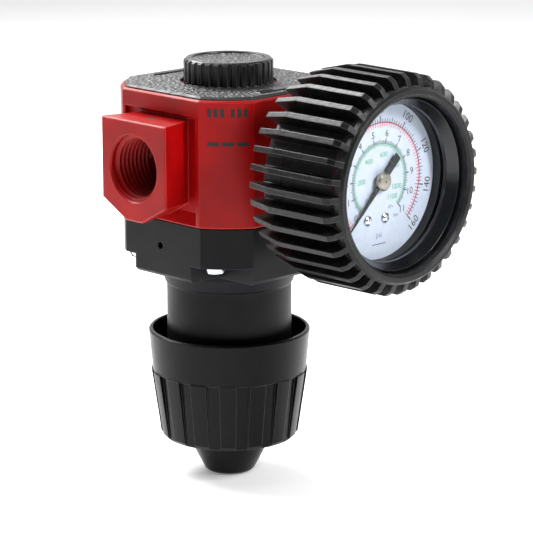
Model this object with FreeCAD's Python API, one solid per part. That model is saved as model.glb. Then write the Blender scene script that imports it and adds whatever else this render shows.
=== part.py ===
import FreeCAD, Part
import math
import os

# Air pressure regulator with a booted dial gauge.
# X runs along the ports (inlet at -X), the gauge faces -Y, the service cap is at +Z and the
# adjusting knob hangs at -Z.  The origin is where the port axis crosses the knob axis.
# Lengths are millimetres.

V = FreeCAD.Vector

# ---------------------------------------------------------------- driving dimensions
BODY_FLAT = 23.6          # port flats and gauge flats, from the axis
BODY_CORNER_R = 27.4      # turned corners between the flats
BODY_TOP = 17.6
BODY_BOTTOM = -14.3
BOSS_FACE = 32.7          # port boss face, from the axis
BOSS_HALF = 11.7          # half width of the boss face
BOSS_NARROW = 3.0         # each side draws in by this much at the body
BOSS_TOP = 11.9
BOSS_SIDE_END = -8.6
BOSS_BOTTOM = -13.3
BOSS_BOTTOM_HALF = 3.0
PORT_R = 8.33             # 3/8 inch pipe thread, major radius
PORT_DEPTH = 15.0
GAUGE_PORT_R = 4.86       # 1/8 inch pipe thread, major radius
CAP_R = 11.4
CAP_TOP = 24.3
CAP_FLUTES = 30
PLATE_THICK = 0.8
SEAT_FLOOR = 3.0
BONNET_FLAT = 23.1
BONNET_R = 26.9
BONNET_CEILING = -24.6    # ceiling of the screw notches
BONNET_LOBE_END = -29.0
SCREW_X = 17.9            # bonnet screw pattern
SCREW_Y = 13.7
NECK_R = 16.1
NECK_END = -60.0
NECK_FLOOR = -57.0
SPRING_BORE = 11.6
KNOB_RIM = -46.0
KNOB_R = 20.9
KNOB_STEP = -57.0
KNOB_STEP_R = 20.3
KNOB_END = -74.6
KNOB_END_R = 17.9
KNOB_RIBS = 16
NOSE_R = 10.9
NOSE_TIP_R = 6.6
NOSE_END = -84.4
ADJUST_R = 4.0            # adjusting screw
NUT_TOP = -39.0
NUT_THICK = 5.0
DIA_TOP = -14.3           # diaphragm upper face
DIA_THICK = 0.8
CASE_R = 20.8
CASE_BACK = -36.0
CASE_FRONT = -57.5
DIAL_FACE = -52.4
BOOT_BACK = -33.5
BOOT_FRONT = -62.5
BOOT_TUBE_R = 22.7
BOOT_RIBS = 36
ARBOR_TO_SECTOR = 9.0
SECTOR_R = 8.0
PINION_R = 0.85

os.makedirs("parts", exist_ok=True)


# ---------------------------------------------------------------- helpers
def save(shape, name):
    """Write one node."""
    shape.exportStep("parts/" + name + ".step")
    print(name, round(shape.Volume, 2), len(shape.Solids), shape.isValid())


def cyl(radius, z0, z1, x=0.0, y=0.0):
    """Round bar along Z."""
    return Part.makeCylinder(radius, z1 - z0, V(x, y, z0), V(0, 0, 1))


def cyl_x(radius, x0, x1, y=0.0, z=0.0):
    """Round bar along X."""
    return Part.makeCylinder(radius, x1 - x0, V(x0, y, z), V(1, 0, 0))


def cyl_y(radius, y0, y1, x=0.0, z=0.0):
    """Round bar along Y."""
    return Part.makeCylinder(radius, y1 - y0, V(x, y0, z), V(0, 1, 0))


def box(x0, x1, y0, y1, z0, z1):
    """Block between two corners."""
    return Part.makeBox(x1 - x0, y1 - y0, z1 - z0, V(x0, y0, z0))


def face_of(points):
    """Closed flat face through the points."""
    return Part.Face(Part.makePolygon(points + [points[0]]))


def turned(profile, axis="z", angle=360.0):
    """Revolve (radius, height) pairs about Z, or about Y when axis is y."""
    if axis == "z":
        points = [V(r, 0, h) for r, h in profile]
        return face_of(points).revolve(V(0, 0, 0), V(0, 0, 1), angle)
    points = [V(r, h, 0) for r, h in profile]
    return face_of(points).revolve(V(0, 0, 0), V(0, 1, 0), angle)


def prism(points, direction):
    """Extrude a flat outline."""
    return face_of(points).extrude(direction)


def plan_block(flat, radius, z0, z1):
    """Four flats with turned corners between them."""
    return cyl(radius, z0, z1).common(box(-flat, flat, -flat, flat, z0, z1))


def hexagon(across, z0, z1):
    """Hexagonal bar along Z."""
    r = across / math.sqrt(3.0)
    points = []
    for i in range(6):
        a = math.radians(60 * i)
        points.append(V(r * math.cos(a), r * math.sin(a), z0))
    return prism(points, V(0, 0, z1 - z0))


def square_y(half, y0, y1):
    """Square bar along Y."""
    return box(-half, half, y0, y1, -half, half)


def coil(mean_r, wire_r, z0, z1, turns):
    """Round-wire spring with its ends between z0 and z1."""
    height = z1 - z0 - 2 * wire_r
    helix = Part.makeHelix(height / turns, height, mean_r)
    helix.translate(V(0, 0, z0 + wire_r))
    ring = Part.makeCircle(wire_r, V(mean_r, 0, z0 + wire_r), V(0, 1, 0))
    return Part.Wire(helix).makePipeShell([Part.Wire(ring)], True, True)


def spun(shape, count, axis):
    """Copies of a shape evenly round an axis through the origin."""
    copies = []
    for i in range(count):
        one = shape.copy()
        one.rotate(V(0, 0, 0), axis, 360.0 * i / count)
        copies.append(one)
    return copies


def ring_o(mean_r, wire_r, z):
    """O-ring lying flat."""
    return Part.makeTorus(mean_r, wire_r, V(0, 0, z), V(0, 0, 1))


# ---------------------------------------------------------------- die-cast body
def boss_outline(x, half, bottom_half, bottom, inset):
    """Port boss section at one station along X."""
    top = BOSS_TOP - inset
    side = half - inset
    low = bottom + inset
    return [
        V(x, -side, top),
        V(x, side, top),
        V(x, side, BOSS_SIDE_END + inset * 0.4),
        V(x, bottom_half, low),
        V(x, -bottom_half, low),
        V(x, -side, BOSS_SIDE_END + inset * 0.4),
    ]


def port_boss():
    """Inlet boss: face with a small bevel, drawing in toward the body."""
    root_half = BOSS_HALF - BOSS_NARROW
    stations = [
        boss_outline(-BOSS_FACE, BOSS_HALF, BOSS_BOTTOM_HALF, BOSS_BOTTOM, 0.35),
        boss_outline(-BOSS_FACE + 0.35, BOSS_HALF, BOSS_BOTTOM_HALF, BOSS_BOTTOM, 0.0),
        boss_outline(-BODY_FLAT + 1.6, root_half, BOSS_BOTTOM_HALF - 1.0, BOSS_BOTTOM + 0.9, 0.0),
    ]
    wires = [Part.makePolygon(s + [s[0]]) for s in stations]
    return Part.makeLoft(wires, True, True)


def side_pocket():
    """Shallow recess in a port flat, ramping out at its foot."""
    outer = -BODY_FLAT - 1.0
    deep = -BODY_FLAT + 1.3
    points = [
        V(outer, -12.9, -14.1),
        V(-BODY_FLAT, -12.9, -14.1),
        V(deep, -12.9, -10.9),
        V(deep, -12.9, 12.6),
        V(-BODY_FLAT, -12.9, 13.4),
        V(outer, -12.9, 13.4),
    ]
    return prism(points, V(0, 25.8, 0))


body = plan_block(BODY_FLAT, BODY_CORNER_R, BODY_BOTTOM, BODY_TOP)
top_edges = [e for e in body.Edges if abs(e.BoundBox.ZMin - BODY_TOP) < 1e-4]
body = body.makeChamfer(0.45, top_edges)
low_edges = [e for e in body.Edges if abs(e.BoundBox.ZMax - BODY_BOTTOM) < 1e-4]
body = body.makeChamfer(0.3, low_edges)
pocket = side_pocket()
boss = port_boss()
for turn in (0, 180):
    cut = pocket.copy()
    cut.rotate(V(0, 0, 0), V(0, 0, 1), turn)
    body = body.cut(cut)
for turn in (0, 180):
    add = boss.copy()
    add.rotate(V(0, 0, 0), V(0, 0, 1), turn)
    body = body.fuse(add)

port_end = BOSS_FACE - PORT_DEPTH
cuts = []
for side in (-1, 1):
    x0, x1 = sorted((side * port_end, side * (BOSS_FACE + 1)))
    cuts.append(cyl_x(PORT_R, x0, x1))
    mouth = Part.makeCone(PORT_R, PORT_R + 0.45, 0.45, V(side * (BOSS_FACE - 0.4), 0, 0), V(side, 0, 0))
    cuts.append(mouth)
    y0, y1 = sorted((side * 14.0, side * (BODY_FLAT + 1)))
    cuts.append(cyl_y(GAUGE_PORT_R, y0, y1))
    y0, y1 = sorted((side * 4.0, side * 14.5))
    cuts.append(cyl_y(1.6, y0, y1, 0, -3.5))
cuts.append(cyl_x(2.3, -port_end - 1, -4.0, 0, 5.8))       # supply passage
cuts.append(cyl_x(4.4, 3.0, port_end + 1, 0, -3.5))        # delivery passage
cuts.append(cyl(7.5, SEAT_FLOOR, 12.0))                    # valve chamber
cuts.append(cyl(9.0, 11.0, BODY_TOP + 1))                  # cap bore
cuts.append(cyl(10.25, 16.4, BODY_TOP + 1))                # cap seal counterbore
cuts.append(cyl(5.0, 0.4, SEAT_FLOOR + 1))                 # valve seat bore
cuts.append(cyl(5.9, -8.5, 0.5))                           # delivery chamber
cuts.append(cyl(1.27, -12.0, -8.0))                        # stem guide
cuts.append(cyl(0.8, -12.0, -8.0, 4.4, 0))                 # sensing hole
cuts.append(cyl(18.5, BODY_BOTTOM - 1, -11.5))             # diaphragm chamber
for sx in (-1, 1):
    for sy in (-1, 1):
        cuts.append(cyl(1.5, BODY_BOTTOM - 1, -5.0, sx * SCREW_X, sy * SCREW_Y))
for cut in cuts:
    body = body.cut(cut)
save(body, "body")

# ---------------------------------------------------------------- top plate and service cap
plate = plan_block(BODY_FLAT - 1.0, BODY_CORNER_R - 1.1, BODY_TOP, BODY_TOP + PLATE_THICK)
plate_edges = [e for e in plate.Edges if abs(e.BoundBox.ZMin - BODY_TOP - PLATE_THICK) < 1e-4]
plate = plate.makeChamfer(0.5, plate_edges)
plate = plate.cut(cyl(CAP_R + 0.9, BODY_TOP - 1, BODY_TOP + 3))
save(plate, "top_plate")

cap = turned([
    (0, 16.0), (5.2, 16.0), (5.2, 11.2), (9.0, 11.2), (9.0, BODY_TOP), (CAP_R, BODY_TOP),
    (CAP_R, CAP_TOP - 0.7), (CAP_R - 0.7, CAP_TOP), (9.4, CAP_TOP), (9.2, CAP_TOP - 0.4),
    (0, CAP_TOP - 0.4),
])
flute = cyl(0.62, BODY_TOP + 0.7, CAP_TOP + 1, CAP_R + 0.12, 0)
cap = cap.cut(Part.makeCompound(spun(flute, CAP_FLUTES, V(0, 0, 1))))
save(cap, "valve_cap")
save(ring_o(9.62, 0.58, 17.0), "cap_o_ring")

plug = cyl_y(GAUGE_PORT_R, 15.5, BODY_FLAT).fuse(cyl_y(6.2, BODY_FLAT, BODY_FLAT + 1.4))
socket = []
for i in range(6):
    a = math.radians(60 * i)
    socket.append(V(2.9 * math.cos(a), BODY_FLAT - 3.5, 2.9 * math.sin(a)))
plug = plug.cut(prism(socket, V(0, 6, 0)))
save(plug, "rear_port_plug")

# ---------------------------------------------------------------- valve
save(turned([(3.5, 0.5), (5.0, 0.5), (5.0, 3.0), (4.3, 3.8), (3.9, 3.8), (3.5, 3.2)]), "valve_seat")
poppet = turned([
    (0, 4.45), (5.6, 4.45), (5.6, 6.2), (4.6, 7.2), (2.4, 7.2), (2.4, 10.0), (0, 10.0),
])
save(poppet, "valve_poppet")
save(turned([(1.2, 3.85), (5.3, 3.85), (5.3, 4.45), (1.2, 4.45)]), "poppet_seal")
save(cyl(1.2, -13.4, 4.45), "valve_stem")
save(coil(3.5, 0.4, 7.25, 15.95, 5), "valve_spring")

# ---------------------------------------------------------------- diaphragm stack
dia_low = DIA_TOP - DIA_THICK
save(turned([
    (1.2, DIA_TOP), (13.6, DIA_TOP), (14.8, DIA_TOP + 0.9), (16.6, DIA_TOP + 0.9), (17.9, DIA_TOP),
    (20.4, DIA_TOP), (20.4, dia_low), (17.4, dia_low), (16.2, dia_low + 0.9),
    (15.2, dia_low + 0.9), (14.0, dia_low), (1.2, dia_low),
]), "diaphragm")
save(turned([(1.2, DIA_TOP), (13.0, DIA_TOP), (13.0, DIA_TOP + 0.7), (1.2, DIA_TOP + 0.7)]),
     "diaphragm_plate_upper")
save(turned([
    (0, dia_low - 2.2), (5.8, dia_low - 2.2), (5.8, dia_low - 1.1), (13.2, dia_low - 1.1),
    (13.2, dia_low), (0, dia_low),
]), "diaphragm_plate_lower")
save(turned([(0, dia_low), (1.2, dia_low), (1.2, -13.4), (0, -13.4)]), "relief_seat")

# ---------------------------------------------------------------- bonnet
bonnet = plan_block(BONNET_FLAT, BONNET_R, BONNET_LOBE_END, DIA_TOP)
low = [e for e in bonnet.Edges if abs(e.BoundBox.ZMax - BONNET_LOBE_END) < 1e-4]
bonnet = bonnet.makeChamfer(0.8, low)
top = [e for e in bonnet.Edges if abs(e.BoundBox.ZMin - DIA_TOP) < 1e-4]
bonnet = bonnet.makeChamfer(0.3, top)
for sx in (-1, 1):
    for sy in (-1, 1):
        x0, x1 = sorted((sx * 13.6, sx * 40))
        y0, y1 = sorted((sy * 10.2, sy * 40))
        bonnet = bonnet.cut(box(x0, x1, y0, y1, BONNET_LOBE_END - 1, BONNET_CEILING))
        bonnet = bonnet.cut(cyl(1.6, -30, DIA_TOP + 1, sx * SCREW_X, sy * SCREW_Y))
collar = turned([
    (0, BONNET_CEILING + 1), (17.4, BONNET_CEILING + 1), (17.4, -30.2), (16.6, -33.2),
    (NECK_R, -33.8), (NECK_R, NECK_END + 0.5), (NECK_R - 0.5, NECK_END), (0, NECK_END),
])
bonnet = bonnet.fuse(collar)
bonnet = bonnet.cut(cyl(20.5, dia_low, DIA_TOP + 1))
bonnet = bonnet.cut(turned([
    (0, dia_low + 0.5), (18.5, dia_low + 0.5), (18.5, -18.6), (15.4, -20.6), (SPRING_BORE, -22.0),
    (SPRING_BORE, NECK_FLOOR), (0, NECK_FLOOR),
]))
bonnet = bonnet.cut(box(-13.6, 13.6, -2.3, 2.3, NECK_FLOOR + 2.5, -21.0))
bonnet = bonnet.cut(cyl(ADJUST_R + 0.08, NECK_END - 1, NECK_FLOOR + 1))
bonnet = bonnet.cut(cyl_x(0.95, -BONNET_FLAT - 1, -12.4, 0.8, -21.0))
save(bonnet, "bonnet")

screws = []
for sx in (-1, 1):
    for sy in (-1, 1):
        crown = BONNET_CEILING - 2.1
        head = turned([
            (0, crown), (1.7, crown), (2.35, crown + 0.4), (2.65, crown + 1.1),
            (2.65, BONNET_CEILING), (0, BONNET_CEILING),
        ])
        head = head.cut(box(-1.7, 1.7, -0.35, 0.35, crown - 1, crown + 0.8))
        head = head.cut(box(-0.35, 0.35, -1.7, 1.7, crown - 1, crown + 0.8))
        one = head.fuse(cyl(1.5, BONNET_CEILING, -6.0))
        one.translate(V(sx * SCREW_X, sy * SCREW_Y, 0))
        screws.append(one)
save(Part.makeCompound(screws), "bonnet_screws")

# ---------------------------------------------------------------- adjusting screw and nut
flange_low = NECK_FLOOR + 0.85
screw = turned([
    (0, -61.6), (ADJUST_R, -61.6), (ADJUST_R, flange_low), (6.4, flange_low),
    (6.4, flange_low + 2.4), (ADJUST_R, flange_low + 2.4), (ADJUST_R, -30.6),
    (ADJUST_R - 0.6, -30.0), (0, -30.0),
])
screw = screw.fuse(hexagon(6.4, -72.0, -61.6))
save(screw, "adjusting_screw")
save(turned([
    (4.5, NECK_FLOOR), (8.0, NECK_FLOOR), (8.0, NECK_FLOOR + 0.8), (4.5, NECK_FLOOR + 0.8),
]), "thrust_washer")
save(turned([(ADJUST_R, -61.2), (6.2, -61.2), (6.2, -60.3), (ADJUST_R, -60.3)]), "retaining_clip")

nut = turned([
    (ADJUST_R + 0.06, NUT_TOP - NUT_THICK), (11.1, NUT_TOP - NUT_THICK), (11.1, NUT_TOP),
    (6.0, NUT_TOP), (6.0, NUT_TOP + 1.4), (ADJUST_R + 0.06, NUT_TOP + 1.4),
])
ears = box(-13.1, 13.1, -1.9, 1.9, NUT_TOP - NUT_THICK, NUT_TOP)
ears = ears.cut(cyl(10.0, NUT_TOP - NUT_THICK - 1, NUT_TOP + 1))
nut = nut.fuse(ears)
save(nut, "spring_nut")
save(coil(8.6, 1.1, NUT_TOP + 0.02, dia_low - 1.12, 5), "main_spring")

# ---------------------------------------------------------------- knob
knob = turned([
    (KNOB_R - 1.0, KNOB_RIM), (KNOB_R - 0.35, KNOB_RIM), (KNOB_R, KNOB_RIM - 0.4),
    (KNOB_STEP_R - 0.35, KNOB_STEP), (KNOB_STEP_R, KNOB_STEP), (KNOB_END_R, KNOB_END + 0.9),
    (KNOB_END_R - 0.8, KNOB_END), (0, KNOB_END), (0, KNOB_END + 2.2), (15.0, KNOB_END + 2.2), (16.6, KNOB_END + 4.0),
    (KNOB_STEP_R - 2.6, KNOB_STEP - 2.0), (KNOB_STEP_R - 1.4, KNOB_STEP + 2.0),
])
knob = knob.fuse(cyl(7.6, KNOB_END + 1.0, -64.4))
bore = hexagon(6.9, KNOB_END + 1.0, -60)
knob = knob.cut(bore)
groove_half = math.radians(5.0)
inner = 16.3
rib_cut = [
    V(inner, -inner * math.tan(groove_half), KNOB_STEP),
    V(26, -26 * math.tan(groove_half), KNOB_STEP),
    V(26, 26 * math.tan(groove_half), KNOB_STEP),
    V(inner, inner * math.tan(groove_half), KNOB_STEP),
]
wedge = prism(rib_cut, V(0, 0, KNOB_END - KNOB_STEP - 1))
core = turned([
    (0, KNOB_STEP + 1), (KNOB_STEP_R - 0.95, KNOB_STEP + 1), (KNOB_STEP_R - 0.95, KNOB_STEP),
    (KNOB_END_R - 0.8, KNOB_END - 2), (0, KNOB_END - 2),
])
wedge = wedge.cut(core)
wedge.rotate(V(0, 0, 0), V(0, 0, 1), 45 + 180.0 / KNOB_RIBS)
knob = knob.cut(Part.makeCompound(spun(wedge, KNOB_RIBS, V(0, 0, 1))))
save(knob, "knob")

nose = turned([
    (NOSE_R, KNOB_END), (NOSE_R, KNOB_END - 0.9), (NOSE_TIP_R, NOSE_END + 0.5),
    (NOSE_TIP_R - 0.5, NOSE_END), (0, NOSE_END), (0, NOSE_END + 1.8), (NOSE_TIP_R - 1.4, NOSE_END + 1.8),
    (NOSE_R - 1.6, KNOB_END),
])
save(nose, "knob_nose")

# ---------------------------------------------------------------- gauge stem and case
stem = cyl_y(GAUGE_PORT_R, -BODY_FLAT, -15.0)
stem = stem.fuse(cyl_y(4.3, -25.0, -BODY_FLAT))
stem = stem.fuse(square_y(5.6, -32.4, -25.0).common(cyl_y(7.1, -33, -24)))
stem = stem.fuse(cyl_y(4.0, -41.2, -32.4))
stem = stem.cut(cyl_y(1.2, -40.0, -14.0))
foot = box(-2.6, 2.6, -41.2, -37.4, -16.0, 0)
foot = foot.fuse(box(-2.6, 2.6, -47.4, -41.2, -16.0, -13.6))
stem = stem.fuse(foot)
save(stem, "gauge_stem")
save(turned([(4.3, -24.9), (6.2, -24.9), (6.2, -BODY_FLAT), (4.3, -BODY_FLAT)], "y"), "gauge_seal")

case = turned([
    (4.0, CASE_BACK), (CASE_R - 0.8, CASE_BACK), (CASE_R, CASE_BACK - 0.8), (CASE_R, CASE_FRONT),
    (CASE_R - 0.8, CASE_FRONT), (CASE_R - 0.8, CASE_BACK - 0.8), (4.0, CASE_BACK - 0.8),
], "y")
save(case, "gauge_case")
lens_back = DIAL_FACE - 2.4
save(turned([
    (0, lens_back), (CASE_R - 0.8, lens_back), (CASE_R - 0.8, lens_back - 1.2), (0, lens_back - 1.2),
], "y"), "gauge_lens")
save(turned([
    (19.3, DIAL_FACE), (CASE_R - 0.8, DIAL_FACE), (CASE_R - 0.8, lens_back), (19.3, lens_back),
], "y"), "lens_gasket")
save(turned([
    (19.1, lens_back - 1.2), (CASE_R - 0.8, lens_back - 1.2), (CASE_R - 0.8, CASE_FRONT),
    (21.4, CASE_FRONT), (21.4, CASE_FRONT - 1.6), (20.7, CASE_FRONT - 2.1), (19.1, lens_back - 2.2),
], "y"), "gauge_bezel")

# ---------------------------------------------------------------- rubber boot
boot = turned([
    (9.5, -35.0), (BOOT_TUBE_R - 0.8, -35.0), (BOOT_TUBE_R, -35.8), (BOOT_TUBE_R, -57.8),
    (23.9, -60.4), (23.9, -61.7), (23.2, BOOT_FRONT), (22.1, BOOT_FRONT), (21.45, -61.9),
    (21.45, CASE_FRONT), (CASE_R, CASE_FRONT), (CASE_R, CASE_BACK), (9.5, CASE_BACK),
], "y")
rib_outline = [
    V(21.8, -36.6, -0.7),
    V(25.3, BOOT_BACK, -0.7),
    V(27.2, -41.6, -0.7),
    V(27.0, -59.3, -0.7),
    V(25.9, -60.9, -0.7),
    V(23.6, -61.9, -0.7),
    V(22.0, -58.0, -0.7),
]
rib = prism(rib_outline, V(0, 0, 1.4))
ribs = spun(rib, BOOT_RIBS, V(0, 1, 0))
boot = boot.fuse(ribs)
save(boot, "gauge_boot")

# ---------------------------------------------------------------- dial, pointer and movement
DIAL_SCREWS = ((-4.1, -9.3), (2.0, -9.4))
dial = cyl_y(CASE_R - 0.8, DIAL_FACE, DIAL_FACE + 0.4).cut(cyl_y(1.0, DIAL_FACE - 1, DIAL_FACE + 1))
for x, z in DIAL_SCREWS:
    dial = dial.cut(cyl_y(0.6, DIAL_FACE - 1, DIAL_FACE + 1, x, z))
save(dial, "dial_plate")
heads = []
for x, z in DIAL_SCREWS:
    head = turned([
        (0, DIAL_FACE - 0.85), (0.7, DIAL_FACE - 0.75), (1.2, DIAL_FACE - 0.4), (1.35, DIAL_FACE),
        (0.6, DIAL_FACE), (0.6, -48.2), (0, -48.2),
    ], "y")
    head.translate(V(x, 0, z))
    heads.append(head)
save(Part.makeCompound(heads), "dial_screws")

pointer_back = DIAL_FACE - 0.8
outline = [
    (16.2, 0.14), (13.0, 0.24), (3.0, 0.62), (0.0, 0.8), (-3.0, 0.9), (-7.9, 1.05),
]
upper = [V(a, pointer_back, b) for a, b in outline]
lower = [V(a, pointer_back, -b) for a, b in reversed(outline)]
needle = prism(upper + lower, V(0, -0.3, 0)).cut(cyl_y(0.5, pointer_back - 2, pointer_back + 2))
needle.rotate(V(0, 0, 0), V(0, 1, 0), 135)
save(needle, "pointer")
save(turned([
    (0.5, pointer_back - 0.3), (2.3, pointer_back - 0.3), (2.3, pointer_back - 0.9),
    (1.9, pointer_back - 1.3), (0, pointer_back - 1.45), (0, pointer_back - 0.8),
    (0.5, pointer_back - 0.8),
], "y"), "pointer_hub")
pinion = turned([
    (0, -41.3), (0.5, -41.3), (0.5, -43.4), (PINION_R, -43.4), (PINION_R, -45.6), (0.5, -45.6),
    (0.5, pointer_back - 0.8), (0, pointer_back - 0.8),
], "y")
notch = cyl_y(0.12, -45.7, -43.3, PINION_R + 0.02, 0)
pinion = pinion.cut(Part.makeCompound(spun(notch, 10, V(0, 1, 0))))
save(pinion, "pointer_arbor")

PIVOT_X = -ARBOR_TO_SECTOR / math.sqrt(2.0)
PIVOT_Z = PIVOT_X
PILLARS = ((7.07, -7.07), (-3.42, 9.4))


def movement_plate(y0, y1):
    """Round plate with its arbor hole and sector pivot hole."""
    plate_shape = cyl_y(12.2, y0, y1).cut(cyl_y(0.55, y0 - 1, y1 + 1))
    plate_shape = plate_shape.cut(cyl_y(0.55, y0 - 1, y1 + 1, PIVOT_X, PIVOT_Z))
    return plate_shape


save(movement_plate(-42.2, -41.2), "movement_rear_plate")
front = movement_plate(-49.0, -48.0)
for x, z in DIAL_SCREWS:
    front = front.cut(cyl_y(0.6, -50, -48.2, x, z))
save(front, "movement_front_plate")
save(Part.makeCompound([cyl_y(1.1, -48.0, -42.2, x, z) for x, z in PILLARS]), "movement_pillars")

# Toothed sector: hub, arm, arc and tail, between the plates.
arc_points = []
for i in range(21):
    a = math.radians(10 + 2 * i)
    r = SECTOR_R if i % 2 == 0 else SECTOR_R - 0.22
    arc_points.append(V(PIVOT_X + r * math.cos(a), -45.0, PIVOT_Z + r * math.sin(a)))
for i in range(11):
    a = math.radians(50 - 4 * i)
    r = SECTOR_R - 1.6
    arc_points.append(V(PIVOT_X + r * math.cos(a), -45.0, PIVOT_Z + r * math.sin(a)))
sector = prism(arc_points, V(0, 1.0, 0))
arm = box(0.0, SECTOR_R - 1.0, -45.0, -44.0, -0.7, 0.7)
arm.rotate(V(0, 0, 0), V(0, 1, 0), -30)
arm.translate(V(PIVOT_X, 0, PIVOT_Z))
tail = box(0.0, 4.6, -45.0, -44.0, -0.8, 0.8)
tail.rotate(V(0, 0, 0), V(0, 1, 0), -115)
tail.translate(V(PIVOT_X, 0, PIVOT_Z))
TAIL_X = PIVOT_X + 4.0 * math.cos(math.radians(115))
TAIL_Z = PIVOT_Z + 4.0 * math.sin(math.radians(115))
sector = sector.fuse(arm).fuse(tail).fuse(cyl_y(1.5, -45.0, -44.0, PIVOT_X, PIVOT_Z))
sector = sector.cut(cyl_y(0.5, -46, -43, PIVOT_X, PIVOT_Z))
sector = sector.fuse(cyl_y(0.4, -44.0, -43.0, TAIL_X, TAIL_Z))
save(sector, "sector_gear")
save(cyl_y(0.5, -48.9, -41.3, PIVOT_X, PIVOT_Z), "sector_shaft")

TIP_R = 15.0
TIP_ANGLE = 160.0
TIP_X = TIP_R * math.cos(math.radians(TIP_ANGLE))
TIP_Z = TIP_R * math.sin(math.radians(TIP_ANGLE))
HOOK_X = TIP_X + 1.9
HOOK_Z = TIP_Z - 0.9
dx = HOOK_X - TAIL_X
dz = HOOK_Z - TAIL_Z
length = math.hypot(dx, dz)
link = box(-0.9, length + 0.75, -43.7, -43.2, -0.6, 0.6)
link = link.cut(cyl_y(0.47, -44, -43, 0, 0)).cut(cyl_y(0.47, -44, -43, length, 0))
link.rotate(V(0, 0, 0), V(0, 1, 0), -math.degrees(math.atan2(dz, dx)))
link.translate(V(TAIL_X, 0, TAIL_Z))
save(link, "link")

tube = turned([
    (14.2, -46.6), (14.6, -47.0), (15.4, -47.0), (15.8, -46.6), (15.8, -42.4), (15.4, -42.0),
    (14.6, -42.0), (14.2, -42.4),
], "y", -250.0)
tube.rotate(V(0, 0, 0), V(0, 1, 0), 90)
save(tube, "bourdon_tube")
tip = box(-1.2, 1.6, -47.4, -42.6, -1.5, 0.0)
tip.rotate(V(0, 0, 0), V(0, 1, 0), -TIP_ANGLE)
tip.translate(V(TIP_X, 0, TIP_Z))
tip = tip.fuse(box(HOOK_X - 1.2, HOOK_X + 0.9, -45.0, -44.2, HOOK_Z - 0.8, HOOK_Z + 0.8))
tip = tip.fuse(cyl_y(0.4, -44.2, -43.1, HOOK_X, HOOK_Z))
save(tip, "tube_tip")

outer_side = []
inner_side = []
for i in range(97):
    a = math.radians(3 * 360.0 * i / 96.0)
    r = 1.0 + 3.2 * i / 96.0
    outer_side.append(V((r + 0.08) * math.cos(a), -47.4, (r + 0.08) * math.sin(a)))
    inner_side.append(V((r - 0.08) * math.cos(a), -47.4, (r - 0.08) * math.sin(a)))
save(prism(outer_side + inner_side[::-1], V(0, 0.4, 0)), "hairspring")
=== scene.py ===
import math

import bpy
from mathutils import Matrix, Vector


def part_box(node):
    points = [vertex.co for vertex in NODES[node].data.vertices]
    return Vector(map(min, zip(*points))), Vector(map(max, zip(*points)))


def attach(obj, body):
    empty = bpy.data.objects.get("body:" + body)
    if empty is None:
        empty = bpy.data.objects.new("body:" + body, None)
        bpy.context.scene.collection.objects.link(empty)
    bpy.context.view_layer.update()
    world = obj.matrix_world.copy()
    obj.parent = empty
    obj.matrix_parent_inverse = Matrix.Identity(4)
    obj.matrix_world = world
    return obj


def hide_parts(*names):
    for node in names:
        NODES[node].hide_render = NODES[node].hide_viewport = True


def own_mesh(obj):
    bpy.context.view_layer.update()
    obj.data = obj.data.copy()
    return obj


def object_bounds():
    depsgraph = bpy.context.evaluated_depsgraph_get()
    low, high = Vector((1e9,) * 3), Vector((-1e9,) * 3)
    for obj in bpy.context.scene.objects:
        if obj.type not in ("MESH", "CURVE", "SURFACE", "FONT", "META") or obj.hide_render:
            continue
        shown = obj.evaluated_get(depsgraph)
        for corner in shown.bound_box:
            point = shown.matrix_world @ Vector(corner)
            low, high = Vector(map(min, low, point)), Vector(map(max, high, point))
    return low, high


# Air pressure regulator: materials, printed dial, port threads, springs, camera and lights.
# Metres, in the CAD frame: X along the ports, the gauge faces -Y, the cap is at +Z.

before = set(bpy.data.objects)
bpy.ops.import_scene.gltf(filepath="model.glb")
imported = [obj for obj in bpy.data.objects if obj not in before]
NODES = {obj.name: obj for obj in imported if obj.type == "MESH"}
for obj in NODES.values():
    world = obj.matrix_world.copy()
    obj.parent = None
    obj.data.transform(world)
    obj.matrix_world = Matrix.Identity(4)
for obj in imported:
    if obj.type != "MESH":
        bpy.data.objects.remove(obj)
CAD_LOW, CAD_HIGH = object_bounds()
MM = 0.001


def rgb(r, g, b):
    """sRGB 0-255 to linear."""
    def channel(c):
        c = c / 255.0
        return c / 12.92 if c <= 0.04045 else ((c + 0.055) / 1.055) ** 2.4
    return (channel(r), channel(g), channel(b), 1.0)


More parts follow.
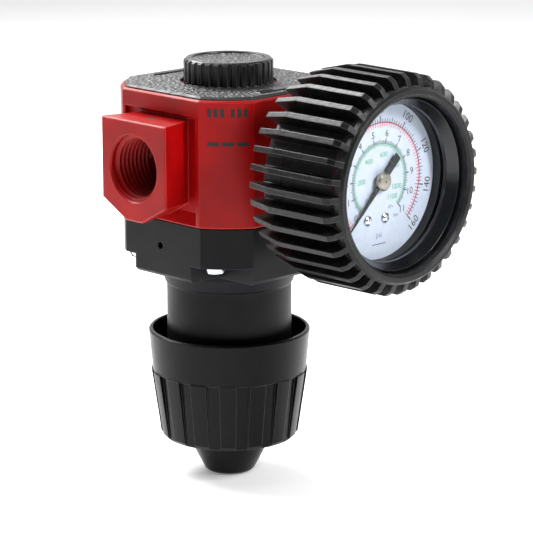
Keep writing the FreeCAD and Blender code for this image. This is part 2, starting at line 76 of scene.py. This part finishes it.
# ---------------------------------------------------------------- materials
class Builder:
    """A principled material with object-space detail built up by small steps."""

    def __init__(self, name, metallic=0.0):
        self.mat = bpy.data.materials.new(name)
        self.mat.use_nodes = True
        self.tree = self.mat.node_tree
        self.tree.nodes.clear()
        self.out = self.tree.nodes.new("ShaderNodeOutputMaterial")
        self.bsdf = self.tree.nodes.new("ShaderNodeBsdfPrincipled")
        self.bsdf.inputs["Metallic"].default_value = metallic
        self.tree.links.new(self.bsdf.outputs[0], self.out.inputs["Surface"])
        self.coord = self.tree.nodes.new("ShaderNodeTexCoord").outputs["Object"]
        self.normal = None

    def link(self, a, b):
        self.tree.links.new(a, b)

    def noise(self, scale, detail=4.0, rough=0.6, stretch=None):
        """Noise in object space, scale in features per metre."""
        node = self.tree.nodes.new("ShaderNodeTexNoise")
        node.inputs["Scale"].default_value = scale
        node.inputs["Detail"].default_value = detail
        node.inputs["Roughness"].default_value = rough
        coord = self.coord
        if stretch:
            mapping = self.tree.nodes.new("ShaderNodeMapping")
            mapping.inputs["Scale"].default_value = stretch
            self.link(self.coord, mapping.inputs["Vector"])
            coord = mapping.outputs[0]
        self.link(coord, node.inputs["Vector"])
        return node.outputs["Fac"]

    def cells(self, scale):
        """Rounded grain cells."""
        node = self.tree.nodes.new("ShaderNodeTexVoronoi")
        node.feature = "SMOOTH_F1"
        node.inputs["Scale"].default_value = scale
        self.link(self.coord, node.inputs["Vector"])
        return node.outputs["Distance"]

    def span(self, value, low, high, to_low=0.0, to_high=1.0):
        """Clamped remap."""
        node = self.tree.nodes.new("ShaderNodeMapRange")
        node.inputs["From Min"].default_value = low
        node.inputs["From Max"].default_value = high
        node.inputs["To Min"].default_value = to_low
        node.inputs["To Max"].default_value = to_high
        self.link(value, node.inputs["Value"])
        return node.outputs[0]

    def math(self, kind, a, b):
        node = self.tree.nodes.new("ShaderNodeMath")
        node.operation = kind
        for i, v in enumerate((a, b)):
            if isinstance(v, (int, float)):
                node.inputs[i].default_value = v
            else:
                self.link(v, node.inputs[i])
        return node.outputs[0]

    def axis(self, name):
        """One object-space coordinate."""
        node = self.tree.nodes.new("ShaderNodeSeparateXYZ")
        self.link(self.coord, node.inputs[0])
        return node.outputs[name]

    def mix(self, fac, a, b):
        """Colour mix; a and b are colours or sockets."""
        node = self.tree.nodes.new("ShaderNodeMix")
        node.data_type = "RGBA"
        self.link(fac, node.inputs["Factor"])
        for key, v in (("A", a), ("B", b)):
            slot = [s for s in node.inputs if s.name == key and s.type == "RGBA"][0]
            if isinstance(v, tuple):
                slot.default_value = v
            else:
                self.link(v, slot)
        return [s for s in node.outputs if s.type == "RGBA"][0]

    def soften(self, radius_mm):
        """Rounded edges in shading; returns how much of an edge each point is, the mask for a painted
        highlight along edges.
        """
        bevel = self.tree.nodes.new("ShaderNodeBevel")
        bevel.samples = 6
        bevel.inputs["Radius"].default_value = radius_mm * MM
        geometry = self.tree.nodes.new("ShaderNodeNewGeometry")
        dot = self.tree.nodes.new("ShaderNodeVectorMath")
        dot.operation = "DOT_PRODUCT"
        self.link(bevel.outputs[0], dot.inputs[0])
        self.link(geometry.outputs["True Normal"], dot.inputs[1])
        self.normal = bevel.outputs[0]
        return self.span(dot.outputs["Value"], 0.995, 0.86)

    def bump(self, height, strength, depth_mm):
        node = self.tree.nodes.new("ShaderNodeBump")
        node.inputs["Strength"].default_value = strength
        node.inputs["Distance"].default_value = depth_mm * MM
        self.link(height, node.inputs["Height"])
        if self.normal is not None:
            self.link(self.normal, node.inputs["Normal"])
        self.normal = node.outputs[0]

    def finish(self, color, rough, **constants):
        for key, v in (("Base Color", color), ("Roughness", rough)):
            if isinstance(v, (tuple, float, int)):
                self.bsdf.inputs[key].default_value = v
            else:
                self.link(v, self.bsdf.inputs[key])
        for key, v in constants.items():
            self.bsdf.inputs[key.replace("_", " ")].default_value = v
        if self.normal is not None:
            self.link(self.normal, self.bsdf.inputs["Normal"])
        return self.mat


def red_paint():
    m = Builder("red_paint")
    edge = m.soften(0.35)
    mottle = m.noise(60, 3)
    base = m.mix(m.span(mottle, 0.35, 0.65), rgb(166, 4, 6), rgb(140, 3, 5))
    # Painted highlight: edges are lightened towards a pale pinkish red.
    color = m.mix(m.math("MULTIPLY", edge, 0.4), base, rgb(240, 110, 98))
    m.bump(m.noise(700, 2), 0.12, 0.08)
    rough = m.span(m.noise(160, 3), 0.3, 0.7, 0.3, 0.42)
    return m.finish(color, rough, Specular_IOR_Level=0.2)


def bonnet_plastic():
    m = Builder("bonnet_plastic")
    edge = m.soften(0.4)
    mottle = m.noise(90, 4)
    base = m.mix(m.span(mottle, 0.3, 0.7), rgb(17, 18, 21), rgb(11, 12, 15))
    # Painted highlight: edges are lightened towards grey.
    color = m.mix(m.math("MULTIPLY", edge, 0.4), base, rgb(80, 84, 92))
    m.bump(m.noise(1800, 3), 0.25, 0.05)
    return m.finish(color, m.span(mottle, 0.3, 0.7, 0.38, 0.48), Specular_IOR_Level=0.16)


def plate_plastic():
    m = Builder("plate_plastic")
    edge = m.soften(0.3)
    grain = m.cells(1150)
    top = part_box("top_plate")[1][2]
    flat_top = m.span(m.axis("Z"), top - 0.03 * MM, top - 0.01 * MM)
    height = m.math("MULTIPLY", grain, flat_top)
    base = m.mix(m.span(grain, 0.1, 0.55), rgb(40, 41, 44), rgb(12, 12, 14))
    # Painted highlight: edges are lightened towards grey.
    color = m.mix(m.math("MULTIPLY", edge, 0.6), base, rgb(130, 132, 138))
    m.bump(height, 1.0, 0.6)
    return m.finish(color, m.span(grain, 0.0, 0.6, 0.26, 0.5))


def cap_plastic():
    m = Builder("cap_plastic")
    edge = m.soften(0.25)
    grain = m.cells(1500)
    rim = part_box("valve_cap")[1][2]
    below_rim = m.span(m.axis("Z"), rim - 0.38 * MM, rim - 0.36 * MM, 1.0, 0.0)
    above_wall = m.span(m.axis("Z"), rim - 0.5 * MM, rim - 0.44 * MM)
    height = m.math("MULTIPLY", grain, m.math("MULTIPLY", below_rim, above_wall))
    mottle = m.noise(120, 3)
    base = m.mix(m.span(mottle, 0.3, 0.7), rgb(18, 18, 20), rgb(12, 12, 14))
    # Painted highlight: edges are lightened towards grey.
    color = m.mix(m.math("MULTIPLY", edge, 0.5), base, rgb(105, 107, 112))
    m.bump(height, 1.0, 0.6)
    return m.finish(color, m.span(mottle, 0.3, 0.7, 0.26, 0.36), Specular_IOR_Level=0.4)


def knob_plastic():
    m = Builder("knob_plastic")
    edge = m.soften(0.3)
    mottle = m.noise(70, 4)
    streak = m.noise(40, 3, stretch=(1.0, 1.0, 0.08))
    base = m.mix(m.span(streak, 0.35, 0.65), rgb(9, 9, 10), rgb(5, 5, 6))
    # Painted highlight: edges are lightened towards grey.
    color = m.mix(m.math("MULTIPLY", edge, 0.35), base, rgb(100, 102, 106))
    m.bump(m.noise(1500, 2), 0.15, 0.04)
    return m.finish(color, m.span(mottle, 0.3, 0.7, 0.22, 0.32), Specular_IOR_Level=0.14)


def boot_rubber():
    m = Builder("boot_rubber")
    edge = m.soften(0.35)
    grain = m.noise(900, 5, 0.7)
    dust = m.span(m.noise(260, 5, 0.75), 0.52, 0.72)
    # The moulding's parting line runs round every rib where its crest is highest.
    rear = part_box("gauge_boot")[1][1]
    from_rear = m.math("SUBTRACT", m.axis("Y"), rear - 8.1 * MM)
    line = m.span(m.math("ABSOLUTE", from_rear, 0.0), 0.08 * MM, 0.2 * MM, 1.0, 0.0)
    base = m.mix(m.span(grain, 0.3, 0.7), rgb(15, 15, 16), rgb(9, 9, 10))
    worn = m.mix(m.math("MULTIPLY", dust, 0.2), base, rgb(88, 86, 84))
    # Painted highlight: edges are lightened towards grey.
    color = m.mix(m.math("MULTIPLY", edge, 0.35), worn, rgb(110, 110, 112))
    color = m.mix(line, color, rgb(6, 6, 6))
    height = m.math("SUBTRACT", grain, m.math("MULTIPLY", line, 3.0))
    m.bump(height, 0.6, 0.2)
    return m.finish(color, m.span(grain, 0.3, 0.7, 0.28, 0.46), Specular_IOR_Level=0.3)


def soft_seal(name):
    m = Builder(name)
    m.bump(m.noise(1200, 3), 0.2, 0.03)
    color = m.mix(m.span(m.noise(200, 2), 0.3, 0.7), rgb(30, 30, 30), rgb(20, 20, 20))
    return m.finish(color, 0.6)


def metal(name, light, dark, rough, stretch=(1.0, 1.0, 8.0)):
    m = Builder(name, metallic=1.0)
    m.soften(0.12)
    brushed = m.noise(300, 4, 0.6, stretch)
    color = m.mix(m.span(brushed, 0.3, 0.7), light, dark)
    m.bump(brushed, 0.12, 0.03)
    return m.finish(color, m.span(brushed, 0.3, 0.7, rough - 0.06, rough + 0.08))


def bezel_gloss():
    m = Builder("bezel_gloss")
    edge = m.soften(0.15)
    turned_marks = m.noise(200, 2)
    # Painted highlight: edges are lightened towards a bluish grey.
    color = m.mix(m.math("MULTIPLY", edge, 0.4), rgb(20, 22, 25), rgb(120, 126, 134))
    m.bump(turned_marks, 0.05, 0.02)
    return m.finish(color, m.span(turned_marks, 0.3, 0.7, 0.14, 0.24))


def dial_enamel():
    m = Builder("dial_enamel")
    speck = m.noise(500, 2)
    color = m.mix(m.span(speck, 0.3, 0.7), rgb(200, 207, 222), rgb(192, 200, 216))
    m.bump(speck, 0.05, 0.01)
    return m.finish(color, 0.45)


def ink(name, color):
    m = Builder(name)
    shade = m.span(m.noise(900, 2), 0.3, 0.7)
    light = tuple(min(1.0, c * 1.25 + 0.004) for c in color[:3]) + (1.0,)
    return m.finish(m.mix(shade, color, light), 0.55)


def window():
    """Clear flat window: straight through, with a faint gloss."""
    m = Builder("gauge_window")
    clear = m.tree.nodes.new("ShaderNodeBsdfTransparent")
    clear.inputs[0].default_value = (0.975, 0.985, 0.99, 1.0)
    gloss = m.tree.nodes.new("ShaderNodeBsdfGlossy")
    gloss.inputs["Roughness"].default_value = 0.03
    fresnel = m.tree.nodes.new("ShaderNodeFresnel")
    fresnel.inputs["IOR"].default_value = 1.38
    mixer = m.tree.nodes.new("ShaderNodeMixShader")
    facing = m.tree.nodes.new("ShaderNodeNewGeometry").outputs["Backfacing"]
    front_only = m.math("SUBTRACT", 1.0, facing)
    smear = m.span(m.noise(60, 3), 0.3, 0.8, 0.35, 0.6)
    gloss_share = m.math("MULTIPLY", fresnel.outputs[0], m.math("MULTIPLY", smear, front_only))
    m.link(gloss_share, mixer.inputs[0])
    m.link(clear.outputs[0], mixer.inputs[1])
    m.link(gloss.outputs[0], mixer.inputs[2])
    m.link(mixer.outputs[0], m.out.inputs["Surface"])
    m.tree.nodes.remove(m.bsdf)
    return m.mat


RED = red_paint()
BONNET = bonnet_plastic()
PLATE = plate_plastic()
CAP = cap_plastic()
KNOB = knob_plastic()
BOOT = boot_rubber()
SEAL = soft_seal("nitrile_seal")
BRASS = metal("turned_brass", rgb(214, 178, 110), rgb(190, 150, 84), 0.3)
STEEL = metal("plain_steel", rgb(190, 192, 196), rgb(160, 162, 167), 0.3)
ZINC = metal("bright_zinc", rgb(225, 228, 232), rgb(196, 200, 206), 0.22)
ALU = metal("plain_aluminium", rgb(210, 211, 214), rgb(186, 188, 192), 0.35)
HUB = metal("nickelled_brass", rgb(176, 170, 158), rgb(150, 144, 132), 0.34)
CASE = metal("black_case", rgb(40, 41, 44), rgb(28, 29, 32), 0.4)
BEZEL = bezel_gloss()
ENAMEL = dial_enamel()
NEEDLE = ink("pointer_black", rgb(20, 20, 22))
BLACK_INK = ink("black_ink", rgb(24, 26, 32))
GREEN_INK = ink("green_ink", rgb(48, 150, 92))
RED_INK = ink("red_ink", rgb(206, 44, 56))
GREY_INK = ink("grey_ink", rgb(105, 110, 122))
BODY_INK = ink("body_ink", rgb(28, 8, 9))

FINISHES = {
    "body": RED, "top_plate": PLATE, "valve_cap": CAP, "bonnet": BONNET, "bonnet_screws": ZINC,
    "knob": KNOB, "knob_nose": KNOB, "gauge_boot": BOOT, "gauge_bezel": BEZEL,
    "gauge_case": CASE, "gauge_lens": window(), "dial_plate": ENAMEL, "dial_screws": ZINC,
    "pointer": NEEDLE, "pointer_hub": HUB, "rear_port_plug": ZINC, "cap_o_ring": SEAL,
    "poppet_seal": SEAL, "diaphragm": SEAL, "gauge_seal": SEAL, "lens_gasket": SEAL,
    "diaphragm_plate_upper": ALU, "diaphragm_plate_lower": ALU, "valve_spring": STEEL,
    "main_spring": STEEL, "valve_stem": STEEL, "adjusting_screw": STEEL,
    "retaining_clip": STEEL, "sector_shaft": STEEL, "hairspring": STEEL,
}
for node_name, obj in NODES.items():
    chosen = FINISHES.get(node_name, BRASS)
    if not obj.material_slots:
        obj.data.materials.append(chosen)
    for entry in obj.material_slots:
        entry.material = chosen


# ---------------------------------------------------------------- mesh helpers
def piece(name, verts, faces, mat, smooth=False, body="regulator"):
    """A mesh object in the row frame that moves with a CAD body, if one is named."""
    mesh = bpy.data.meshes.new(name)
    mesh.from_pydata([tuple(v) for v in verts], [], faces)
    mesh.validate()
    mesh.update()
    mesh.materials.append(mat)
    for poly in mesh.polygons:
        poly.use_smooth = smooth
    obj = bpy.data.objects.new(name, mesh)
    bpy.context.scene.collection.objects.link(obj)
    if body:
        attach(obj, body)
    return obj


class Print:
    """Thin printed marks gathered into one mesh. place maps (right, up) to a point."""

    def __init__(self, place):
        self.place = place
        self.verts = []
        self.faces = []

    def polygon(self, points):
        start = len(self.verts)
        self.verts += [self.place(u, v) for u, v in points]
        self.faces.append(tuple(range(start, start + len(points))))

    def bar(self, u0, v0, u1, v1, width):
        """Straight stroke between two points, cut up so it can follow a curved face."""
        du, dv = u1 - u0, v1 - v0
        length = math.hypot(du, dv)
        nu, nv = -dv / length * width / 2, du / length * width / 2
        cuts = max(1, int(abs(du) / 1.0) + 1)
        for i in range(cuts):
            a, b = i / cuts, (i + 1) / cuts
            p = (u0 + du * a, v0 + dv * a)
            q = (u0 + du * b, v0 + dv * b)
            self.polygon([(p[0] + nu, p[1] + nv), (p[0] - nu, p[1] - nv),
                          (q[0] - nu, q[1] - nv), (q[0] + nu, q[1] + nv)])

    def tick(self, angle, r0, r1, width):
        """Radial stroke; angle in degrees clockwise from the top."""
        s, c = math.sin(math.radians(angle)), math.cos(math.radians(angle))
        self.bar(r0 * s, r0 * c, r1 * s, r1 * c, width)

    def arc(self, a0, a1, radius, width):
        steps = int((a1 - a0) / 3)
        for i in range(steps):
            quad = []
            for a, r in ((i, -1), (i, 1), (i + 1, 1), (i + 1, -1)):
                t = math.radians(a0 + (a1 - a0) * a / steps)
                rr = radius + r * width / 2
                quad.append((rr * math.sin(t), rr * math.cos(t)))
            self.polygon(quad)

    def label(self, words, u, v, height, turn=0.0):
        """Numerals or a unit name, centred, turned clockwise by turn degrees."""
        curve = bpy.data.curves.new("label", "FONT")
        curve.body = words
        curve.size = height * 1.38
        curve.align_x = "CENTER"
        curve.align_y = "CENTER"
        curve.resolution_u = 3
        holder = bpy.data.objects.new("label", curve)
        bpy.context.scene.collection.objects.link(holder)
        mesh = bpy.data.meshes.new_from_object(
            holder.evaluated_get(bpy.context.evaluated_depsgraph_get()))
        t = math.radians(-turn)
        start = len(self.verts)
        for vert in mesh.vertices:
            x, y = vert.co.x, vert.co.y
            self.verts.append(self.place(u + x * math.cos(t) - y * math.sin(t),
                                         v + x * math.sin(t) + y * math.cos(t)))
        for poly in mesh.polygons:
            self.faces.append(tuple(start + i for i in poly.vertices))
        bpy.data.objects.remove(holder)
        bpy.data.curves.remove(curve)
        bpy.data.meshes.remove(mesh)

    def build(self, name, mat):
        return piece(name, self.verts, self.faces, mat)


# ---------------------------------------------------------------- printed dial
DIAL_PRINT_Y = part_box("dial_plate")[0][1] - 0.02 * MM
SWEEP = 135.0                                   # scale runs this far either side of the top

# Radii and stroke widths in millimetres. Ticks have three sizes: tenth, fifth and other steps.
PSI_LINE_R = 14.32
PSI_TICK_IN = 14.35
PSI_TICK_OUT = (15.9, 15.5, 15.1)
PSI_TICK_WIDTH = (0.3, 0.19, 0.19)
PSI_NUMERAL_R = 17.4
BAR_TICK_IN = 9.2
BAR_TICK_OUT = (10.4, 10.1, 9.8)
BAR_TICK_WIDTH = (0.28, 0.17, 0.17)
BAR_NUMERAL_R = 11.5
RED_LINE_R = 14.15
RED_TICK_IN = (12.9, 12.9, 13.2)
GREEN_LINE_R = 9.1
GREEN_TICK_IN = (8.1, 8.45, 8.45)
GREEN_NUMERAL_R = 6.4


def on_dial(u, v):
    return Vector((u * MM, DIAL_PRINT_Y, v * MM))


def scale_angle(value, full):
    return -SWEEP + 2 * SWEEP * value / full


def at_step(step, sizes):
    """The size for a tick on a tenth step, on a fifth step or on any other."""
    if step % 10 == 0:
        return sizes[0]
    return sizes[1] if step % 5 == 0 else sizes[2]


def around_dial(angle, radius):
    """Right and up of a point on the dial; angle in degrees clockwise from the top."""
    return radius * math.sin(math.radians(angle)), radius * math.cos(math.radians(angle))


psi = Print(on_dial)
for step in range(81):
    psi.tick(scale_angle(step * 2, 160), PSI_TICK_IN, at_step(step, PSI_TICK_OUT),
             at_step(step, PSI_TICK_WIDTH))
for value in range(0, 161, 20):
    a = scale_angle(value, 160)
    turn = a if abs(a) < 90 else a - math.copysign(180, a)
    psi.label(str(value), *around_dial(a, PSI_NUMERAL_R), 2.0, turn)
for step in range(111):
    psi.tick(scale_angle(step, 110), BAR_TICK_IN, at_step(step, BAR_TICK_OUT),
             at_step(step, BAR_TICK_WIDTH))
for value in range(0, 12):
    psi.label(str(value), *around_dial(scale_angle(value, 11), BAR_NUMERAL_R), 1.75)
psi.arc(-SWEEP, SWEEP, PSI_LINE_R, 0.09)
psi.build("dial_black_scales", BLACK_INK)

red_scale = Print(on_dial)
red_scale.arc(-SWEEP, SWEEP, RED_LINE_R, 0.2)
for step in range(81):
    red_scale.tick(scale_angle(step, 80), at_step(step, RED_TICK_IN), RED_LINE_R, 0.18)
red_scale.build("dial_red_scale", RED_INK)

green_scale = Print(on_dial)
green_scale.arc(-SWEEP, SWEEP, GREEN_LINE_R, 0.16)
for step in range(111):
    green_scale.tick(scale_angle(step, 110), at_step(step, GREEN_TICK_IN), GREEN_LINE_R, 0.15)
for value in (0, 200, 400, 600, 800, 1000, 1100):
    green_scale.label(str(value), *around_dial(scale_angle(value, 1100), GREEN_NUMERAL_R), 1.35)
green_scale.build("dial_green_scale", GREEN_INK)

units = Print(on_dial)
units.label("kPa", 4.0, -6.9, 0.9)
units.label("bar", 6.0, -9.2, 1.0)
units.label("psi", 0.0, -13.4, 1.4)
units.bar(-2.4, -15.6, 2.4, -15.6, 0.25)
units.build("dial_units", GREY_INK)

# Punched dot at the middle of the pointer's hub.
DOT_R = 0.22 * MM
DOT_POINTS = 24
dot_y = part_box("pointer_hub")[0][1] - 0.004 * MM
dot = []
for i in range(DOT_POINTS):
    t = 2 * math.pi * i / DOT_POINTS
    dot.append(Vector((DOT_R * math.cos(t), dot_y, DOT_R * math.sin(t))))
piece("hub_dot", dot, [tuple(range(DOT_POINTS))], NEEDLE, body="pointer")

# ---------------------------------------------------------------- marks on the red body
BODY_LOW, BODY_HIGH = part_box("body")
CORNER_R = 27.43 * MM
DIAGONAL = Vector((-1, -1, 0)).normalized()
ALONG = Vector((1, -1, 0)).normalized()


def on_corner(u, v):
    """Wraps marks round the turned front-left corner; v is measured down from the top edge."""
    beta = u * MM / CORNER_R
    ring = DIAGONAL * math.cos(beta) + ALONG * math.sin(beta)
    return ring * CORNER_R + Vector((0, 0, BODY_HIGH[2] - 1.0 * MM - v * MM))


# Rows of plain blocks: distance down, block height, block width and where each block starts.
BLOCK_ROWS = ((1.9, 2.2, 1.0, (-4.7, -3.1, -1.5, 1.1, 2.7, 4.3)),
              (9.6, 1.0, 2.9, (-4.7, -1.0, 2.7)))
marks = Print(on_corner)
for down, block_height, width, starts in BLOCK_ROWS:
    for start in starts:
        marks.bar(start, down, start + width, down, block_height)
marks.build("body_marks", BODY_INK)


BOSS_TOP_PRINT_Z = 11.92
ARROW_FROM_PORT_FACE = 5.6


def on_boss_top(u, v):
    return Vector((BODY_LOW[0] + ARROW_FROM_PORT_FACE * MM + u * MM, v * MM, BOSS_TOP_PRINT_Z * MM))


arrow = Print(on_boss_top)
arrow.bar(-1.6, 0.0, 0.6, 0.0, 0.9)
arrow.polygon([(0.6, -1.3), (2.6, 0.0), (0.6, 1.3)])
arrow.build("flow_arrow", BODY_INK)

# ---------------------------------------------------------------- raised bars on the top plate
PLATE_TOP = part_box("top_plate")[1][2]
BAR_HALF_LENGTH = 9.0
BAR_INNER_Y = 18.2
BAR_OUTER_Y = 20.6


def raised_bar(name, x0, x1, y0, y1, height=0.3, slope=0.3):
    """Low flat pad with sloping sides."""
    verts = []
    for inset, z in ((0.0, 0.0), (slope, height)):
        for x, y in ((x0 + inset, y0 + inset), (x1 - inset, y0 + inset),
                     (x1 - inset, y1 - inset), (x0 + inset, y1 - inset)):
            verts.append((x * MM, y * MM, PLATE_TOP + z * MM))
    faces = [(4, 5, 6, 7), (0, 1, 5, 4), (1, 2, 6, 5), (2, 3, 7, 6), (3, 0, 4, 7)]
    return piece(name, verts, faces, KNOB)


raised_bar("plate_bar_rear", -BAR_HALF_LENGTH, BAR_HALF_LENGTH, BAR_INNER_Y, BAR_OUTER_Y)
raised_bar("plate_bar_front", -BAR_HALF_LENGTH, BAR_HALF_LENGTH, -BAR_OUTER_Y, -BAR_INNER_Y)

# ---------------------------------------------------------------- port threads
THREAD_MAJOR = 8.33
THREAD_MINOR = 7.48
THREAD_PITCH = 1.337
THREAD_TURNS = 9
THREAD_INSET = 0.9                              # first turn, back from the port face
FADE_TURNS = 0.4                                # the ridge rises over this part of a turn


def thread(name, side):
    """Helical ridge standing in from the bore wall of one port."""
    per_turn = 56
    start = abs(BODY_LOW[0]) / MM - THREAD_INSET
    profile = ((THREAD_MAJOR + 0.02, -0.62), (THREAD_MINOR, -0.12), (THREAD_MINOR, 0.12),
               (THREAD_MAJOR + 0.02, 0.62))
    verts = []
    faces = []
    for i in range(THREAD_TURNS * per_turn + 1):
        t = 2 * math.pi * i / per_turn
        fade = min(1.0, i / (FADE_TURNS * per_turn))
        for r, along in profile:
            r = THREAD_MAJOR - (THREAD_MAJOR - r) * fade
            x = side * (start - THREAD_PITCH * i / per_turn + along * fade)
            verts.append((x * MM, r * math.cos(t * side) * MM, r * math.sin(t * side) * MM))
        if i:
            a, b = 4 * (i - 1), 4 * i
            for k in range(3):
                faces.append((a + k, a + k + 1, b + k + 1, b + k))
    obj = piece(name, verts, faces, RED)
    return obj


thread("inlet_thread", -1)
thread("outlet_thread", 1)

# ---------------------------------------------------------------- springs
SPRING_TURNS = 5
MAIN_WIRE_R = 1.1
VALVE_WIRE_R = 0.4


def spring(node, wire_r):
    """Round-wire helix for a CAD spring."""
    low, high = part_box(node)
    per_turn = 40
    around = 10
    wire = wire_r * MM
    coil_r = high[0] - wire
    length = high[2] - low[2]
    rise = (length - 2 * wire) / (SPRING_TURNS * per_turn)
    verts = []
    faces = []
    for i in range(SPRING_TURNS * per_turn + 1):
        t = 2 * math.pi * i / per_turn
        for k in range(around):
            s = 2 * math.pi * k / around
            r = coil_r + wire * math.cos(s)
            z = low[2] + wire * (1 + math.sin(s)) + rise * i
            verts.append((r * math.cos(t), r * math.sin(t), z))
        if i:
            a, b = around * (i - 1), around * i
            for k in range(around):
                n = (k + 1) % around
                faces.append((a + k, b + k, b + n, a + n))
    faces.append(tuple(range(around)))
    faces.append(tuple(reversed(range(len(verts) - around, len(verts)))))
    wound = piece(node + "_wire", verts, faces, STEEL, smooth=True)
    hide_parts(node)
    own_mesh(wound)


spring("main_spring", MAIN_WIRE_R)
spring("valve_spring", VALVE_WIRE_R)

# ---------------------------------------------------------------- studio
FLOOR_Z = CAD_LOW[2] - 0.5 * MM
floor_mat = Builder("studio_floor")
floor_tone = floor_mat.mix(floor_mat.span(floor_mat.noise(3, 2), 0.3, 0.7),
                           (0.93, 0.93, 0.93, 1.0), (0.91, 0.91, 0.91, 1.0))
floor_mat.bsdf.inputs["Emission Color"].default_value = (1, 1, 1, 1)
floor_mat.bsdf.inputs["Emission Strength"].default_value = 0.22
floor_mat = floor_mat.finish(floor_tone, 0.9)
FLOOR_HALF = 6
floor_corners = [(x * FLOOR_HALF, y * FLOOR_HALF, FLOOR_Z) for x, y in ((-1, -1), (1, -1), (1, 1), (-1, 1))]
floor = piece("studio_floor", floor_corners, [(0, 1, 2, 3)], floor_mat, body=None)

# Camera direction from the object: azimuth and elevation of a three-quarter view.
AZIMUTH = math.radians(44.63)
ELEVATION = math.radians(13.62)
DISTANCE = 637.8 * MM
AIM_RIGHT = 9.62 * MM
AIM_UP = -29.40 * MM
BACK = Vector((-math.sin(AZIMUTH) * math.cos(ELEVATION), -math.cos(AZIMUTH) * math.cos(ELEVATION),
               math.sin(ELEVATION)))
RIGHT = Vector((math.cos(AZIMUTH), -math.sin(AZIMUTH), 0))
UP = BACK.cross(RIGHT)

# The surroundings are dark on the camera's side of the object and white behind it.
scene = bpy.context.scene
world = bpy.data.worlds.new("studio_world")
world.use_nodes = True
scene.world = world
wt = world.node_tree
background = wt.nodes["Background"]
w_coord = wt.nodes.new("ShaderNodeTexCoord")
w_dot = wt.nodes.new("ShaderNodeVectorMath")
w_dot.operation = "DOT_PRODUCT"
w_dot.inputs[1].default_value = (-BACK.x, -BACK.y, 0.15)
wt.links.new(w_coord.outputs["Generated"], w_dot.inputs[0])
w_range = wt.nodes.new("ShaderNodeMapRange")
w_range.inputs["From Min"].default_value = 0.1
w_range.inputs["From Max"].default_value = 0.7
w_range.inputs["To Min"].default_value = 0.08
w_range.inputs["To Max"].default_value = 1.05
wt.links.new(w_dot.outputs["Value"], w_range.inputs["Value"])
wt.links.new(w_range.outputs[0], background.inputs["Strength"])
background.inputs["Color"].default_value = (1, 1, 1, 1)


def softbox(name, place, size, power, target=(0, -0.015, -0.02)):
    """Rectangular light facing the target."""
    data = bpy.data.lights.new(name, "AREA")
    data.shape = "RECTANGLE"
    data.size, data.size_y = size
    data.energy = power
    obj = bpy.data.objects.new(name, data)
    obj.location = place
    aim = Vector(target) - Vector(place)
    obj.rotation_euler = aim.to_track_quat("-Z", "Y").to_euler()
    scene.collection.objects.link(obj)
    return obj


softbox("key", BACK * 0.42 + RIGHT * 0.55 + Vector((0, 0, 0.32)), (0.2, 0.28), 6.4)
softbox("top", Vector((-0.12, 0.1, 0.62)), (0.4, 0.25), 1.2)
softbox("back_top", Vector((0.0, 0.46, 0.44)), (0.62, 0.26), 8.0)
softbox("left_strip", BACK * 0.25 - RIGHT * 0.62 + Vector((0, 0, 0.3)), (0.1, 0.5), 0.1)

camera_data = bpy.data.cameras.new("camera")
camera_data.sensor_width = 36.0
camera_data.lens = 36.0 * 2500.0 / 533.0
camera_data.clip_end = 30.0
camera = bpy.data.objects.new("camera", camera_data)
place = BACK * DISTANCE + RIGHT * AIM_RIGHT + UP * AIM_UP
turn = Matrix((RIGHT, UP, BACK)).transposed().to_4x4()
camera.matrix_world = Matrix.Translation(place) @ turn
scene.collection.objects.link(camera)
scene.camera = camera
scene.view_settings.view_transform = "Standard"
